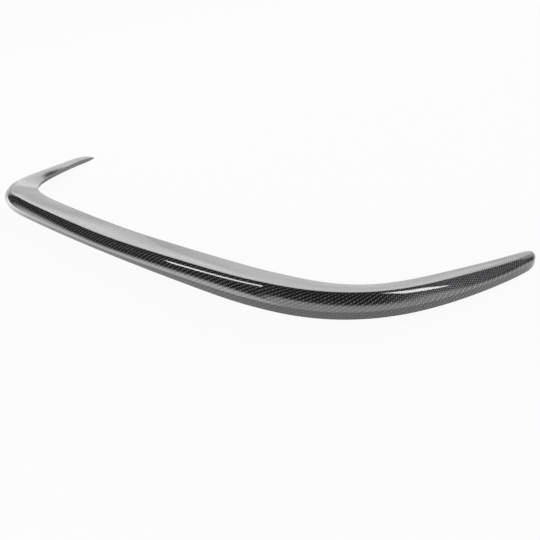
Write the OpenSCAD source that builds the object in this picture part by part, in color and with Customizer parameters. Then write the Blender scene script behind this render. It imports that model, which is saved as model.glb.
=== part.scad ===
// Rear trunk-lip spoiler: one moulded carbon-fibre shell, bonded to the trunk lid.
// A long bar follows the rear edge of the lid, turns both corners and runs forward in two
// arms that fall away with the shoulders of the lid.
// X runs across the car, +Y to its front, +Z up; the feet of the main span lie in z = 0.
// The origin is on the bonding flange under the nose, at the centre of the car.

/* [Plan] */
// Width across both arms, outside to outside
overall_w = 1090; // [900:5:1400]
// Length of the nose line in each corner curve
corner_run = 430; // [250:5:550]
// Turn of the nose line in each corner, degrees
corner_turn = 64; // [35:1:75]
// Length of the nose line in each arm, from the corner curve to the tip
arm_run = 82; // [40:1:250]
// Even bow of the nose line from the centre to a tip, degrees
bow = 6; // [0:0.5:20]
// Further inward turn of the nose line at a tip, degrees
tip_turn = 18; // [0:1:60]
// Length of the nose line over which that turn builds up
tip_sweep = 165; // [80:5:320]
// How far the feet fall from the main span to a tip
arm_drop = 49; // [0:1:90]
// Length of the nose line from the centre to where the feet start to fall
drop_start = 320; // [150:5:450]

/* [Section widths] */
// Nose line to inner edge, at the centre
chord_centre = 62; // [40:1:120]
// Nose line to inner edge, in the corner
chord_corner = 68; // [40:1:120]
// Nose line to inner edge, on the arm
chord_arm = 48; // [20:1:90]
// Nose line to inner edge, at the tip before it is rounded off
chord_tip = 23; // [6:1:60]

/* [Ridge line] */
// Nose line to ridge, at the centre
ridge_centre = 16; // [6:0.5:40]
// Nose line to ridge, in the corner
ridge_corner = 16.5; // [6:0.5:40]
// Nose line to ridge, on the arm
ridge_arm = 25.5; // [5:0.5:40]
// Nose line to ridge, at the tip before it is rounded off
ridge_tip = 5; // [3:0.5:30]

/* [Section heights] */
// Height of the ridge at the centre
height_centre = 16.5; // [10:0.5:60]
// Height of the ridge in the corner
height_corner = 27.5; // [12:0.5:60]
// Height of the ridge on the arm
height_arm = 13.5; // [8:0.5:50]
// Height of the ridge at the tip before it is rounded off
height_tip = 13; // [6:0.5:40]
// Height of the inner edge along the main span
edge_span = 2.4; // [1.5:0.1:8]
// Height of the inner edge wall on the arm
edge_arm = 8.6; // [3:0.5:20]
// Height of the inner edge wall at the tip
edge_tip = 8; // [2:0.5:15]

/* [Section shape] */
// Height of the nose line as a share of the ridge height, along the main span
nose_span = 0.28; // [0.25:0.01:0.8]
// Height of the nose line as a share of the ridge height, in the corner
nose_corner = 0.3; // [0.25:0.01:0.8]
// Height of the nose line as a share of the ridge height, on the arm
nose_arm = 0.6; // [0.3:0.01:0.8]
// Form of the nose from ridge to nose line: 1 is a quarter ellipse, 2 a flat chamfer
nose_form = 1.35; // [1:0.05:2]
// Inward lean of the lower face as a share of the ridge height
lean = 0; // [0:0.01:0.3]
// Crown of the top face: 1 is a flat slope, 2 a full arch
crown = 1.2; // [1:0.05:2]

/* [Laminate] */
// Wall thickness of the moulded shell
wall = 2.4; // [1.5:0.1:4]
// Width of the in-turned bonding flange under the nose
flange_w = 12; // [6:0.5:20]
// Width of the foot along the inner edge
foot_w = 6; // [3:0.5:12]
// Length of each tip that is closed solid
tip_solid = 34; // [15:1:80]
// Length over which the hollow runs out towards a tip
hollow_fade = 46; // [20:1:100]

/* [Tips] */
// Length over which each tip is rounded off
tip_round = 50; // [10:1:80]
// Point that the rounding closes on, as a share of the chord from the nose
tip_close = 1; // [0.3:0.05:1]

/* [Detail] */
// Sections from the centre to the start of a rounded tip
sections = 54; // [20:1:80]
// Sections in each rounded tip
tip_sections = 9; // [5:1:14]

/* [Hidden] */
path_steps = 240;      // short steps that trace the nose line
fit_passes = 4;        // refinements that bring the nose line to the stated width
edge_points = 3;       // points up the inner edge
top_points = 10;       // points over the top face
nose_points = 8;       // points round the nose
face_points = 4;       // points down the lower face
edge_softening = 0.25; // how far the top of the inner edge is broken, as a share of its height
tip_level = 0.35;      // height that the rounding closes on, as a share of the ridge height
end_scale = 0.08;      // size of the last section before the closing point
fit_share = 0.45;      // most of the chord that the flange or the foot may take
ridge_share = 0.6;     // most of the chord that may lie ahead of the ridge
drop_power = 1.5;      // 1 is a straight fall of the arms, 2 an even curve

laminate = [0.13, 0.13, 0.14];

// Blend from 0 to 1 with no jump in slope or curvature at either end.
function ease(t) = let (k = min(max(t, 0), 1)) k * k * k * (k * (6 * k - 15) + 10);
function mix(a, b, t) = a + (b - a) * t;

// Smooth law along the half bar: t is 0 at the centre and 1 at the tip, and
// `guides` are evenly spaced values that the law follows, mirrored at the centre.
function law(guides, t) =
    let (n = len(guides) - 1,
         u = min(max(t, 0), 1) * n,
         k = min(floor(u), n - 1),
         f = u - k,
         g0 = guides[abs(k - 1)],
         g1 = guides[k],
         g2 = guides[k + 1],
         g3 = k + 2 > n ? 2 * guides[n] - guides[n - 1] : guides[k + 2])
    (pow(1 - f, 3) * g0 + (3 * pow(f, 3) - 6 * f * f + 4) * g1
        + (1 + 3 * f + 3 * f * f - 3 * pow(f, 3)) * g2 + pow(f, 3) * g3) / 6;

// Guide values from one size at the centre, in the corner, on the arm and at the tip.
function guides(centre, corner, arm, tip) =
    [centre, mix(centre, corner, 1 / 3), mix(centre, corner, 2 / 3), corner,
     (corner + arm) / 2, arm, tip];

chords = guides(chord_centre, chord_corner, chord_arm, chord_tip);
ridges = guides(ridge_centre, ridge_corner, ridge_arm, ridge_tip);
heights = guides(height_centre, height_corner, height_arm, height_tip);
edges = guides(edge_span, edge_span, edge_arm, edge_tip);
nose_levels = guides(nose_span, nose_corner, nose_arm, nose_arm);

// Nose line: heading along it, its points, and the straight span that gives overall_w.
function half_length(span) = span + corner_run + arm_run;
function heading(s, span) =
    let (length = half_length(span))
    bow * s / length + corner_turn * ease((s - span) / corner_run)
        + tip_turn * pow(max(0, (s - length + tip_sweep) / tip_sweep), 2);
function direction(a) = [cos(a), sin(a)];
function nose_line(span) =
    let (ds = half_length(span) / path_steps)
    [for (i = 0, p = [0, 0]; i <= path_steps;
          p = p + ds * direction(heading((i + 0.5) * ds, span)), i = i + 1) p];
// Scale of the section at s: it closes in an ellipse over the rounded tip.
function rounding(s, length) =
    let (e = min(1, max(0, 1 - (length - s) / tip_round)))
    max(end_scale, sqrt(1 - e * e));
function reach(span) =
    let (length = half_length(span), line = nose_line(span))
    max([for (i = [0 : path_steps]) let (s = i * length / path_steps)
        line[i][0] - sin(heading(s, span)) * tip_close * law(chords, s / length)
            * (1 - rounding(s, length))]);
function fitted_span(span, passes) =
    passes <= 0 ? span : fitted_span(span + overall_w / 2 - reach(span), passes - 1);

span = fitted_span(overall_w / 4, fit_passes);
half_len = half_length(span);
line = nose_line(span);

function line_point(s) =
    let (u = s / half_len * path_steps, k = min(floor(u), path_steps - 1))
    mix(line[k], line[k + 1], u - k);

// Outer skin of a section as [distance in from the nose line, height]: up the inner
// edge, over the top to the ridge, round the nose and down the lower face.
function skin(chord, ridge, height, nose, edge) =
    let (brk = edge_softening * min(edge, 2 * wall))
    concat(
        [for (i = [0 : edge_points - 2]) [chord, (edge - brk) * i / (edge_points - 2)]],
        [for (i = [0 : top_points]) let (t = i / top_points)
            [mix(chord - brk, ridge, t), mix(edge, height, 1 - pow(1 - t, crown))]],
        [for (i = [1 : nose_points]) let (a = 90 * i / nose_points)
            [ridge * (1 - pow(sin(a), nose_form)), nose + (height - nose) * pow(cos(a), nose_form)]],
        [for (i = [1 : face_points]) let (t = i / face_points)
            [lean * height * pow(t, 1.5), nose * (1 - t)]]);

// Hollow of a section, from the lip of the bonding flange round under the skin to the foot.
function hollow(chord, ridge, height, nose, edge) =
    let (lip = lean * height + min(flange_w, fit_share * chord),
         foot = chord - min(foot_w, fit_share * chord),
         top = height - wall,
         flange_t = max(0.1, 1 - wall / nose),
         bend_t = min(0.25, flange_t / 2))
    concat(
        [[lip, 0], [lip, wall]],
        [for (i = [0 : face_points - 2]) let (t = mix(flange_t, bend_t, i / (face_points - 2)))
            [lean * height * pow(t, 1.5) + wall, nose * (1 - t)]],
        [for (i = [0 : nose_points - 2]) let (a = 90 * (1 - i / (nose_points - 2)))
            [ridge - (ridge - wall) * pow(sin(a), nose_form), nose + (top - nose) * pow(cos(a), nose_form)]],
        [for (i = [1 : top_points - 3]) let (t = i / (top_points - 3), u = mix(ridge, foot, t),
                q = (chord - u) / (chord - ridge))
            [u, mix(edge, height, 1 - pow(1 - min(1, q), crown)) - wall * 1.15]],
        [[foot, 0]]);

// Height of the feet along the nose line.
function feet(s) =
    -arm_drop * pow(max(0, s - drop_start) / (half_len - drop_start), drop_power);

// How far the hollow is open at s: 0 is solid.
function openness(s) = ease((half_len - tip_solid - s) / hollow_fade);

// Closed outline of the section at s, as [distance in from the nose line, height].
function section(s) =
    let (t = s / half_len,
         chord = law(chords, t),
         ridge = min(law(ridges, t), ridge_share * chord),
         height = law(heights, t),
         nose = height * law(nose_levels, t),
         edge = law(edges, t),
         under = hollow(chord, ridge, height, nose, edge),
         last = len(under) - 1,
         open = openness(s),
         close = [tip_close * chord, tip_level * height],
         k = rounding(s, half_len))
    [for (p = concat(
        skin(chord, ridge, height, nose, edge),
        [for (i = [0 : last])
            let (flat = [mix(under[0][0], under[last][0], i / last), 0])
            mix(flat, under[i], open)]))
        close + k * (p - close)];

// Section placed on the nose line, on the right-hand side (side = 1) or the left (-1).
function place(s, side) =
    let (o = line_point(s), a = heading(s, span), z = feet(s))
    [for (p = section(s))
        [side * (o[0] - sin(a) * p[0]), o[1] + cos(a) * p[0] - flange_w / 2, z + p[1]]];

// Distances along one half: even to the rounded tip, then closer and closer.
half_stations = concat(
    [for (i = [0 : sections]) (half_len - tip_round) * i / sections],
    [for (i = [1 : tip_sections]) half_len - tip_round * (1 - sin(90 * i / tip_sections))]);

function middle(ring) = [for (p = ring) 1] * ring / len(ring);

// Solid through closed rings of equal length, closed at each end on the ring's middle.
module loft(rings) {
    m = len(rings);
    n = len(rings[0]);
    points = concat([for (r = rings) each r], [middle(rings[0]), middle(rings[m - 1])]);
    sides = [for (j = [0 : m - 2]) for (i = [0 : n - 1])
        let (a = j * n + i, b = j * n + (i + 1) % n)
        each [[a, b, b + n], [a, b + n, a + n]]];
    caps = [for (i = [0 : n - 1])
        let (k = (i + 1) % n)
        each [[k, i, m * n], [(m - 1) * n + i, (m - 1) * n + k, m * n + 1]]];
    polyhedron(points, concat(sides, caps));
}

// The shell: outer skin, in-turned flange under the nose, foot along the inner edge.
module spoiler_shell() {
    n = len(half_stations) - 1;
    color(laminate) loft(concat(
        [for (i = [n : -1 : 1]) place(half_stations[i], -1)],
        [for (s = half_stations) place(s, 1)]));
}

spoiler_shell();
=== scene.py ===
import math
from functools import partial
import bpy
from mathutils import Matrix, Vector


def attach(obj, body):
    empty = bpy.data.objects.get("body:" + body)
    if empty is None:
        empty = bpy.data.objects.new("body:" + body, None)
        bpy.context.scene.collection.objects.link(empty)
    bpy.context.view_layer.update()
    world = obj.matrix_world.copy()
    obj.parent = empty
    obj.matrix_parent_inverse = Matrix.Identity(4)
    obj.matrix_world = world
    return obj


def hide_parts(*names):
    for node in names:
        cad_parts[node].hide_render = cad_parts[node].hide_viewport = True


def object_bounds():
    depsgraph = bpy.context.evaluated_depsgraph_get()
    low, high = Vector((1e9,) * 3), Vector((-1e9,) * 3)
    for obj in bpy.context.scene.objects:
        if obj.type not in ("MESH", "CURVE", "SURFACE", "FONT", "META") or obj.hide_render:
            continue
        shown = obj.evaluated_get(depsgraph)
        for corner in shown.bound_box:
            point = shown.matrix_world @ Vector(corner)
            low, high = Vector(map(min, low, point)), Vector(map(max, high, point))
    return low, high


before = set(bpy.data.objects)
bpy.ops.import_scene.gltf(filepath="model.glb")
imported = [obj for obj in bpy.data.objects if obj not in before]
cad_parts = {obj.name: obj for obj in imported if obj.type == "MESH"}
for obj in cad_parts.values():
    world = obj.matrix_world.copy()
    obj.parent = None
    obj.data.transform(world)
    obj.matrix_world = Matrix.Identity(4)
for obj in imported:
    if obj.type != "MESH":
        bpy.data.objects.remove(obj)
cad_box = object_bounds()


# Camera: stands close behind the right-hand corner of the bar, a little above it, with a
# short lens, so that the near arm is drawn more than twice as large as the far one.
# It leans over by twelve degrees, as the bar does in the picture.
camera_at = (0.71473, -0.31440, 0.36906)
focal_px, picture_px, sensor_w = 530.891, 540, 36.0
view_turn, view_height, view_lean = math.radians(47.745), math.radians(32.685), math.radians(-12.337)
view_back = Vector((math.sin(view_turn) * math.cos(view_height),
                    -math.cos(view_turn) * math.cos(view_height), math.sin(view_height)))
view_right = Vector((math.cos(view_turn), math.sin(view_turn), 0.0))
view_up = view_back.cross(view_right)
lens_right = view_right * math.cos(view_lean) + view_up * math.sin(view_lean)
lens_up = view_back.cross(lens_right)
camera_data = bpy.data.cameras.new("camera")
camera_data.sensor_width = sensor_w
camera_data.lens = focal_px / picture_px * sensor_w
camera_data.clip_start = 0.01
camera = bpy.data.objects.new("camera", camera_data)
bpy.context.scene.collection.objects.link(camera)
camera.matrix_world = (Matrix.Translation(camera_at)
                       @ Matrix((lens_right, lens_up, view_back)).transposed().to_4x4())
bpy.context.scene.camera = camera


# Laminate shell: one carbon-fibre moulding, laid up in a female mould, with a smooth outer
# skin, a flange turned in under the nose, a foot along the inner edge and two solid tips.
# A flat grid is laid along the nose line like the cloth in the mould, then sewn shut.
mm_in_m = 1000
# the solid's own sizes, in millimetres and degrees
overall_w, corner_run, corner_turn = 1090.0, 430.0, 64.0
arm_run, bow, tip_turn, tip_sweep = 82.0, 6.0, 18.0, 165.0
arm_drop, drop_start, drop_power = 49.0, 320.0, 1.5
wall, flange_w, foot_w, tip_solid, hollow_fade = 2.4, 12.0, 6.0, 34.0, 46.0
tip_round, tip_close, tip_level, end_scale = 50.0, 1.0, 0.35, 0.03
lean, lean_power, crown, nose_form = 0.0, 1.5, 1.2, 1.35
edge_softening, fit_share, ridge_share = 0.25, 0.45, 0.6
# steps along the half bar, along a rounded tip and along the traced nose line
shell_steps, tip_steps, path_steps, fit_passes = 128, 16, 960, 4
# steps up the inner edge, round its softened top, over the top face, round the nose, down the face
edge_steps, soft_steps, top_steps, nose_steps, face_steps = 3, 4, 28, 24, 12
top_crowding = 1.3
# steps inside the lower face, inside the nose and under the top face
inner_face_steps, inner_nose_steps, inner_top_steps = 5, 9, 13
# the top face slopes, so its wall stands a little thicker upright than square to the skin
upright_wall = wall * 1.15


def ease(t):
    k = min(max(t, 0.0), 1.0)
    return k * k * k * (k * (6 * k - 15) + 10)


def mix(a, b, t):
    return a + (b - a) * t


def four_sizes(centre, corner, arm, tip):
    return [centre, mix(centre, corner, 1 / 3), mix(centre, corner, 2 / 3), corner,
            (corner + arm) / 2, arm, tip]


def along_bar(guides, t):
    n = len(guides) - 1
    u = min(max(t, 0.0), 1.0) * n
    k = min(int(u), n - 1)
    f = u - k
    after = 2 * guides[n] - guides[n - 1] if k + 2 > n else guides[k + 2]
    return ((1 - f) ** 3 * guides[abs(k - 1)] + (3 * f ** 3 - 6 * f * f + 4) * guides[k]
            + (1 + 3 * f + 3 * f * f - 3 * f ** 3) * guides[k + 1] + f ** 3 * after) / 6


chords = four_sizes(62.0, 68.0, 48.0, 23.0)
ridges = four_sizes(16.0, 16.5, 25.5, 5.0)
heights = four_sizes(16.5, 27.5, 13.5, 13.0)
edges = four_sizes(2.4, 2.4, 8.6, 8.0)
nose_levels = four_sizes(0.28, 0.3, 0.6, 0.6)


def heading(s, span):
    length = span + corner_run + arm_run
    return math.radians(bow * s / length + corner_turn * ease((s - span) / corner_run)
                        + tip_turn * max(0.0, (s - length + tip_sweep) / tip_sweep) ** 2)


def rounding(s, length):
    e = min(1.0, max(0.0, 1 - (length - s) / tip_round))
    return max(end_scale, math.sqrt(1 - e * e))


def nose_line(span):
    ds = (span + corner_run + arm_run) / path_steps
    x, y, points = 0.0, 0.0, [(0.0, 0.0)]
    for i in range(path_steps):
        a = heading((i + 0.5) * ds, span)
        x, y = x + ds * math.cos(a), y + ds * math.sin(a)
        points.append((x, y))
    return points


span = overall_w / 4
for _ in range(fit_passes):
    length = span + corner_run + arm_run
    reach = max(p[0] - math.sin(heading(i * length / path_steps, span)) * tip_close
                * along_bar(chords, i / path_steps) * (1 - rounding(i * length / path_steps, length))
                for i, p in enumerate(nose_line(span)))
    span += overall_w / 2 - reach
half_length = span + corner_run + arm_run
nose_points = nose_line(span)


def on_nose_line(s):
    u = s / half_length * path_steps
    k = min(int(u), path_steps - 1)
    a, b = nose_points[k], nose_points[k + 1]
    return mix(a[0], b[0], u - k), mix(a[1], b[1], u - k)


def skin_section(chord, ridge, height, nose, edge):
    # up the inner edge, over the top, round the nose and down the lower face
    soft = edge_softening * min(edge, 2 * wall)
    points = [(chord, (edge - soft) * i / edge_steps) for i in range(edge_steps + 1)]
    for i in range(1, soft_steps):
        a = math.radians(90 * i / soft_steps)
        points.append((chord - soft * (1 - math.cos(a)), edge - soft * (1 - math.sin(a))))
    for i in range(top_steps + 1):
        t = 1 - (1 - i / top_steps) ** top_crowding
        points.append((mix(chord - soft, ridge, t), mix(edge, height, 1 - (1 - t) ** crown)))
    for i in range(1, nose_steps + 1):
        a = math.radians(90 * i / nose_steps)
        points.append((ridge * (1 - math.sin(a) ** nose_form),
                       nose + (height - nose) * max(0.0, math.cos(a)) ** nose_form))
    for i in range(1, face_steps + 1):
        t = i / face_steps
        points.append((lean * height * t ** lean_power, nose * (1 - t)))
    return points


def hollow_section(chord, ridge, height, nose, edge):
    # from the lip of the flange, round under the skin, to the foot
    flange_t = max(0.1, 1 - wall / nose)
    bend_t = min(0.25, flange_t / 2)
    lip = lean * height + min(flange_w, fit_share * chord)
    foot = chord - min(foot_w, fit_share * chord)
    points = [(lip, 0.0), (lip, wall)]
    for i in range(inner_face_steps + 1):
        t = mix(flange_t, bend_t, i / inner_face_steps)
        points.append((lean * height * t ** lean_power + wall, nose * (1 - t)))
    for i in range(inner_nose_steps + 1):
        a = math.radians(90 * (1 - i / inner_nose_steps))
        points.append((ridge - (ridge - wall) * max(0.0, math.sin(a)) ** nose_form,
                       nose + (height - wall - nose) * max(0.0, math.cos(a)) ** nose_form))
    for i in range(1, inner_top_steps + 1):
        u = mix(ridge, foot, i / inner_top_steps)
        q = min(1.0, (chord - u) / (chord - ridge))
        points.append((u, mix(edge, height, 1 - (1 - q) ** crown) - upright_wall))
    return points + [(foot, 0.0)]


def section_at(s):
    t = s / half_length
    chord, height, edge = along_bar(chords, t), along_bar(heights, t), along_bar(edges, t)
    ridge = min(along_bar(ridges, t), ridge_share * chord)
    nose = height * along_bar(nose_levels, t)
    skin = skin_section(chord, ridge, height, nose, edge)
    under = hollow_section(chord, ridge, height, nose, edge)
    is_open = ease((half_length - tip_solid - s) / hollow_fade)
    last = len(under) - 1
    for i, p in enumerate(under):
        flat = mix(under[0][0], under[last][0], i / last)
        under[i] = (mix(flat, p[0], is_open), p[1] * is_open)
    close, k = (tip_close * chord, tip_level * height), rounding(s, half_length)
    ring = [(close[0] + k * (p[0] - close[0]), close[1] + k * (p[1] - close[1])) for p in skin + under]
    return ring, len(skin)


# how far the cloth leans as it is pulled round the corner, from the centre to the tip
cloth_shear = [0.0, 0.0, 0.2, 1.2, 0.8, 0.5, 0.5]
# the stations along the bar, from the left tip to the right one
stations = [(half_length - tip_round) * i / shell_steps for i in range(shell_steps + 1)]
stations += [half_length - tip_round * (1 - math.sin(math.radians(90 * i / tip_steps)))
             for i in range(1, tip_steps + 1)]
stations = [-s for s in reversed(stations[1:])] + stations
rings, cloth = [], []
for s in stations:
    ring, skin_count = section_at(abs(s))
    side = 1 if s >= 0 else -1
    a = heading(abs(s), span)
    x, y = on_nose_line(abs(s))
    feet = -arm_drop * max(0.0, (abs(s) - drop_start) / (half_length - drop_start)) ** drop_power
    rings.append([(side * (x - math.sin(a) * p[0]) / mm_in_m,
                   (y + math.cos(a) * p[0] - flange_w / 2) / mm_in_m,
                   (feet + p[1]) / mm_in_m) for p in ring])
    # distance over the skin from the nose line, in towards the inner edge
    nose_index = skin_count - face_steps - 1
    over = [0.0]
    for i in range(1, len(ring) + 1):
        p, q = ring[i - 1], ring[i % len(ring)]
        over.append(over[-1] + math.hypot(p[0] - q[0], p[1] - q[1]))
    over = [over[nose_index] - d for d in over]
    shear = along_bar(cloth_shear, abs(s) / half_length)
    cloth.append([((s - side * shear * d) / mm_in_m, d / mm_in_m) for d in over])
ring_count = len(rings[0])

bpy.ops.object.select_all(action="DESELECT")
bpy.ops.mesh.primitive_grid_add(x_subdivisions=ring_count, y_subdivisions=len(stations) - 1,
                                size=1.0, calc_uvs=True, location=(0, 0, 0))
shell = bpy.context.object
shell.name = shell.data.name = "laminate_shell"
mesh = shell.data
grid_place = []
for v in mesh.vertices:
    j = round((v.co.x + 0.5) * ring_count)
    i = round((v.co.y + 0.5) * (len(stations) - 1))
    grid_place.append((i, j))
    v.co = rings[i][j % ring_count]
cloth_map = mesh.uv_layers[0]
cloth_map.name = "cloth"
for loop in mesh.loops:
    i, j = grid_place[loop.vertex_index]
    cloth_map.data[loop.index].uv = cloth[i][j]
bpy.ops.object.mode_set(mode="EDIT")
bpy.ops.mesh.select_all(action="SELECT")
bpy.ops.mesh.remove_doubles(threshold=1e-7)
bpy.ops.mesh.select_all(action="DESELECT")
bpy.ops.mesh.select_non_manifold()
bpy.ops.mesh.edge_face_add()
bpy.ops.mesh.select_all(action="SELECT")
bpy.ops.mesh.normals_make_consistent(inside=False)
bpy.ops.object.mode_set(mode="OBJECT")
bpy.ops.object.shade_smooth_by_angle(angle=math.radians(40))

# 2x2 twill: each tow passes over two and under two, one step on from its neighbour.
# The cloth map is in metres on the cloth, so a tow keeps its width all along the bar.
tow = 0.0021
# warp and weft are one fibre: painted sheen makes one set of tows light, painted shade the other dark
shaded_tow, sheen_tow, mean_tone = 0.04, 0.2, 0.044
tow_spread, fibre_spread = 0.28, 0.5
# the crown of each float is painted light as a highlight, its edges and ends dark as painted shade
gap_shade, crown_highlight, relief_depth, across_share = 0.05, 1.1, 0.00022, 0.45
carbon = bpy.data.materials.new("twill_carbon")
carbon.use_nodes = True
nodes, links = carbon.node_tree.nodes, carbon.node_tree.links
surface = nodes["Principled BSDF"]


def math_node(tree, operation, *values, clamp=False):
    node = tree.nodes.new("ShaderNodeMath")
    node.operation, node.use_clamp = operation, clamp
    for socket, value in zip(node.inputs, values):
        if isinstance(value, (int, float)):
            socket.default_value = value
        else:
            tree.links.new(value, socket)
    return node.outputs[0]


weave = partial(math_node, carbon.node_tree)


def blend(factor, a, b):
    return weave("ADD", weave("MULTIPLY", factor, b), weave("MULTIPLY", weave("SUBTRACT", 1.0, factor), a))


def rise(value, start, full):
    return weave("MULTIPLY_ADD", value, 1 / (full - start), -start / (full - start), clamp=True)


def arch(place):
    centred = weave("ABSOLUTE", weave("SUBTRACT", weave("MULTIPLY", place, 2.0), 1.0))
    return weave("SUBTRACT", 1.0, weave("POWER", centred, 2.0))


cloth_place = nodes.new("ShaderNodeUVMap")
cloth_place.uv_map = "cloth"
axes = nodes.new("ShaderNodeSeparateXYZ")
links.new(cloth_place.outputs["UV"], axes.inputs[0])
cloth_x, cloth_y = axes.outputs["X"], axes.outputs["Y"]
across, along = weave("DIVIDE", cloth_x, tow), weave("DIVIDE", cloth_y, tow)
tow_x, tow_y = weave("FLOOR", across), weave("FLOOR", along)
in_x, in_y = weave("SUBTRACT", across, tow_x), weave("SUBTRACT", along, tow_y)
step = weave("FLOORED_MODULO", weave("SUBTRACT", tow_x, tow_y), 4.0)
warp = weave("LESS_THAN", step, 1.5)
# how far along the visible float, and how far across the tow
warp_float = weave("DIVIDE", weave("ADD", weave("SUBTRACT", 1.0, step), in_y), 2.0)
weft_float = weave("DIVIDE", weave("ADD", weave("SUBTRACT", step, 2.0), in_x), 2.0)
tow_arch = arch(blend(warp, in_y, in_x))
float_arch = arch(blend(warp, weft_float, warp_float))
crown_height = weave("ADD", weave("MULTIPLY", tow_arch, across_share),
                     weave("MULTIPLY", float_arch, 1 - across_share))
float_crown_mask = weave("MULTIPLY", tow_arch, float_arch)

# each tow is a little lighter or darker than the next, as spread fibre is
tow_number = nodes.new("ShaderNodeCombineXYZ")
links.new(blend(warp, tow_y, tow_x), tow_number.inputs["X"])
links.new(warp, tow_number.inputs["Y"])
tow_noise = nodes.new("ShaderNodeTexWhiteNoise")
tow_noise.noise_dimensions = "2D"
links.new(tow_number.outputs[0], tow_noise.inputs["Vector"])
# and fine lines of fibre run along it
fibre_fine, fibre_long = 9.0, 0.4
fibre_noise = nodes.new("ShaderNodeTexNoise")
fibre_noise.noise_dimensions = "2D"
fibre_noise.inputs["Scale"].default_value = 1.0
fibre_noise.inputs["Detail"].default_value = 1.0
fibre_place = nodes.new("ShaderNodeCombineXYZ")
links.new(blend(warp, weave("MULTIPLY", along, fibre_fine), weave("MULTIPLY", across, fibre_fine)),
          fibre_place.inputs["X"])
links.new(blend(warp, weave("MULTIPLY", across, fibre_long), weave("MULTIPLY", along, fibre_long)),
          fibre_place.inputs["Y"])
links.new(fibre_place.outputs[0], fibre_noise.inputs["Vector"])

# painted highlight: on the arms' upper face all tows are painted lighter, so the weave shows as dots
arm_start, arm_full, top_start, top_full = 0.46, 0.56, 0.004, 0.007
shaded_tow_highlight, sheen_tow_highlight = 0.24, 0.1
on_arm = rise(weave("ABSOLUTE", cloth_x), arm_start, arm_full)
arm_top_highlight = weave("MULTIPLY", on_arm, rise(cloth_y, top_start, top_full))
# under the nose of the bar the pattern is faint
faint_start, faint_full, faint_share = 0.008, 0.004, 0.6
faint = weave("MULTIPLY", rise(cloth_y, faint_start, faint_full),
              weave("MULTIPLY_ADD", on_arm, -faint_share, faint_share))
# the tone of the tows, with their painted sheen and shade and the painted highlight on the arms
tone = blend(warp, weave("MULTIPLY_ADD", arm_top_highlight, shaded_tow_highlight, shaded_tow),
             weave("MULTIPLY_ADD", arm_top_highlight, sheen_tow_highlight, sheen_tow))
tone = weave("MULTIPLY", tone, weave("MULTIPLY_ADD", tow_noise.outputs["Value"],
                                     tow_spread, 1 - tow_spread / 2))
tone = weave("MULTIPLY", tone, weave("MULTIPLY_ADD", fibre_noise.outputs["Fac"],
                                     fibre_spread, 1 - fibre_spread / 2))
# painted highlight on the crown of each float, painted shade where it curves away at its edges
tone = weave("MULTIPLY", tone, weave("MULTIPLY_ADD", weave("MULTIPLY", float_crown_mask, float_crown_mask), crown_highlight, gap_shade))
tone = blend(faint, tone, mean_tone)
# the laminate is a hair bluer than plain grey
grey = nodes.new("ShaderNodeCombineColor")
for channel, share in (("Red", 0.985), ("Green", 0.99), ("Blue", 1.03)):
    links.new(weave("MULTIPLY", tone, share), grey.inputs[channel])
links.new(grey.outputs[0], surface.inputs["Base Color"])
relief = nodes.new("ShaderNodeBump")
relief.inputs["Strength"].default_value = 1.0
relief.inputs["Distance"].default_value = 1.0
relief_height = weave("MULTIPLY_ADD", faint, -relief_depth, relief_depth)
links.new(weave("MULTIPLY", crown_height, relief_height), relief.inputs["Height"])
links.new(relief.outputs["Normal"], surface.inputs["Normal"])
# bare fibre is a soft broad gloss under a clear, polished coat
surface.inputs["Metallic"].default_value = 0.5
surface.inputs["Roughness"].default_value = 0.3
surface.inputs["Specular Tint"].default_value = (0.1, 0.1, 0.1, 1)
surface.inputs["Coat Weight"].default_value = 1.0
surface.inputs["Coat Roughness"].default_value = 0.035
surface.inputs["Coat IOR"].default_value = 1.8
surface.inputs["Specular IOR Level"].default_value = 0.1
mesh.materials.append(carbon)
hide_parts("spoiler_shell")
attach(shell, "root")


# Floor and light: a white floor, a horizon that is bright ahead of the bar and a dark
# ceiling above it. The flat top of the bar mirrors the floor and the horizon, its nose
# mirrors the ceiling, and its lower face mirrors a low panel behind the camera.
floor_size, floor_gap, floor_glow = 40.0, 0.0005, 0.92
bpy.ops.object.select_all(action="DESELECT")
bpy.ops.mesh.primitive_plane_add(size=floor_size, location=(0, 0, cad_box[0][2] - floor_gap))
floor = bpy.context.object
floor.name = "floor"
paper = bpy.data.materials.new("white_paper")
paper.use_nodes = True
paper_nodes, paper_links = paper.node_tree.nodes, paper.node_tree.links
sheet = paper_nodes["Principled BSDF"]
sheet.inputs["Base Color"].default_value = (0.9, 0.9, 0.9, 1)
sheet.inputs["Roughness"].default_value = 0.9
sheet.inputs["Specular IOR Level"].default_value = 0.0
ray = paper_nodes.new("ShaderNodeLightPath")
glow = paper_nodes.new("ShaderNodeEmission")


def fade_node(tree, value, dark, bright, form="LINEAR"):
    node = tree.nodes.new("ShaderNodeMapRange")
    node.interpolation_type = form
    tree.links.new(value, node.inputs["Value"])
    node.inputs["From Min"].default_value, node.inputs["From Max"].default_value = dark, bright
    return node.outputs["Result"]


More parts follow.
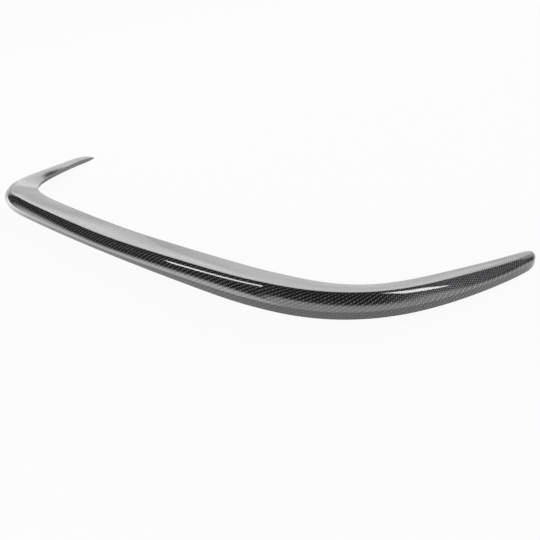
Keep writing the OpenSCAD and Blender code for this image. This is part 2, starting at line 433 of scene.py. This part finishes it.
# mirrored in the bar, the paper brightens ahead of the right-hand arm and at the left-hand corner
paper_math = partial(math_node, paper.node_tree)
paper_fade = partial(fade_node, paper.node_tree)
paper_place = paper_nodes.new("ShaderNodeTexCoord")
paper_axes = paper_nodes.new("ShaderNodeSeparateXYZ")
paper_links.new(paper_place.outputs["Object"], paper_axes.inputs[0])
paper_x, paper_y = paper_axes.outputs["X"], paper_axes.outputs["Y"]
line_slant, ahead_level, corner_level = 0.8, 0.7, 1.8
lit_line = paper_math("MULTIPLY_ADD", paper_math("MINIMUM", paper_x, 0.0), line_slant, paper_y)
lit_ahead = paper_math("MULTIPLY", paper_fade(lit_line, 0.2, 0.65),
                       paper_math("MULTIPLY", paper_fade(paper_x, 0.5, 0.3), ahead_level))
lit_corner = paper_math("MULTIPLY", paper_fade(paper_x, -0.3, -0.7), paper_fade(paper_y, 0.05, -0.15))
lit = paper_math("ADD", paper_math("MULTIPLY", lit_corner, corner_level), lit_ahead)
paper_links.new(paper_math("MULTIPLY_ADD", lit, ray.outputs["Is Glossy Ray"], 1.0), glow.inputs["Strength"])
# the camera and the mirrored rays see nearly white paper, which still keeps the bar's shadow
seen = paper_math("MULTIPLY_ADD", ray.outputs["Is Camera Ray"], floor_glow, ray.outputs["Is Glossy Ray"])
white = paper_nodes.new("ShaderNodeMixShader")
paper_links.new(paper_math("MINIMUM", seen, floor_glow), white.inputs["Fac"])
paper_links.new(sheet.outputs[0], white.inputs[1])
paper_links.new(glow.outputs[0], white.inputs[2])
paper_links.new(white.outputs[0], paper_nodes["Material Output"].inputs["Surface"])
floor.data.materials.append(paper)

studio = bpy.data.worlds.new("studio")
studio.use_nodes = True
bpy.context.scene.world = studio
sky_nodes, sky_links = studio.node_tree.nodes, studio.node_tree.links
sky_math = partial(math_node, studio.node_tree)
sky_fade = partial(fade_node, studio.node_tree, form="SMOOTHSTEP")
toward = sky_nodes.new("ShaderNodeTexCoord")
sky_axes = sky_nodes.new("ShaderNodeSeparateXYZ")
sky_links.new(toward.outputs["Generated"], sky_axes.inputs[0])
# x, y and z of a direction of length one, so a height is the sine of its angle above the floor
sky_x, sky_y, sky_z = (sky_axes.outputs[axis] for axis in "XYZ")


def sky_side(degrees):
    a = math.radians(degrees)
    return sky_math("ADD", sky_math("MULTIPLY", sky_x, math.cos(a)),
                    sky_math("MULTIPLY", sky_y, math.sin(a)))


# the horizon is bright ahead of the bar, and to both sides its lower edge slopes up
sky_strength, ceiling, horizon_low, horizon_gain = 3.0, 0.01, 0.31, 0.34
horizon_slope, left_start, right_start = 1.2, 0.809, 0.375
slope_left = sky_math("MULTIPLY_ADD", sky_math("ADD", sky_x, left_start), horizon_slope, sky_z)
slope_right = sky_math("MULTIPLY_ADD", sky_math("ADD", sky_x, right_start), -horizon_slope, sky_z)
bright_part = sky_fade(sky_math("MINIMUM", slope_left, slope_right), -0.03, 0.14)
band = sky_math("MULTIPLY", sky_fade(sky_z, 0.41, 0.36), sky_fade(sky_side(131), 0.6, 0.74))
horizon = sky_math("MULTIPLY_ADD", band,
                   sky_math("MULTIPLY_ADD", bright_part, horizon_gain, horizon_low), ceiling)
# a tall pale wall on the right-hand side, which the corner and the arm mirror
wall_level, wall_rake = 0.6, 0.3
wall_top = sky_math("SUBTRACT", sky_z, sky_math("MULTIPLY", sky_x, wall_rake))
pale_wall = sky_math("MULTIPLY", sky_fade(wall_top, 0.78, 0.6), sky_fade(sky_side(-20), -0.12, 0.12))
# and a brighter low panel behind the camera, which the lower face mirrors
panel_level = 0.95
low_panel = sky_math("MULTIPLY", sky_fade(sky_z, 0.42, 0.2), sky_fade(sky_side(-125), 0.72, 0.96))
sky_light = sky_math("MAXIMUM", horizon, sky_math("MULTIPLY", pale_wall, wall_level))
sky_light = sky_math("MAXIMUM", sky_light, sky_math("MULTIPLY", low_panel, panel_level))
sky = sky_nodes["Background"]
sky.inputs["Strength"].default_value = sky_strength
sky_links.new(sky_light, sky.inputs["Color"])
# the camera itself sees plain white
plain = sky_nodes.new("ShaderNodeBackground")
plain.inputs["Color"].default_value = (1, 1, 1, 1)
sky_ray = sky_nodes.new("ShaderNodeLightPath")
sky_mix = sky_nodes.new("ShaderNodeMixShader")
sky_links.new(sky_ray.outputs["Is Camera Ray"], sky_mix.inputs["Fac"])
sky_links.new(sky.outputs[0], sky_mix.inputs[1])
sky_links.new(plain.outputs[0], sky_mix.inputs[2])
sky_links.new(sky_mix.outputs[0], sky_nodes["World Output"].inputs["Surface"])

# two narrow strip lamps overhead draw the two bright streaks along the nose
lamp_z, lamp_w, lamp_power = 3.0, 0.45, 22.0
for name, start, end in (("strip_over_bar", (-3.79, -1.42, lamp_z), (-1.2, -1.02, lamp_z)),
                         ("strip_over_arm", (0.57, 2.55, lamp_z), (0.44, 4.0, lamp_z))):
    start, end = Vector(start), Vector(end)
    bpy.ops.object.light_add(type="AREA", location=(start + end) / 2)
    lamp = bpy.context.object
    lamp.name = name
    lengthwise = (end - start).normalized()
    upward = lamp.location - lamp.location.project(lengthwise)
    upward.normalize()
    lamp.rotation_euler = Matrix((lengthwise, upward.cross(lengthwise), upward)).transposed().to_euler()
    lamp.data.shape = "RECTANGLE"
    lamp.data.size, lamp.data.size_y = (end - start).length, lamp_w
    lamp.data.energy = lamp_power * lamp.data.size * lamp.data.size_y
bpy.context.scene.view_settings.view_transform = "Standard"
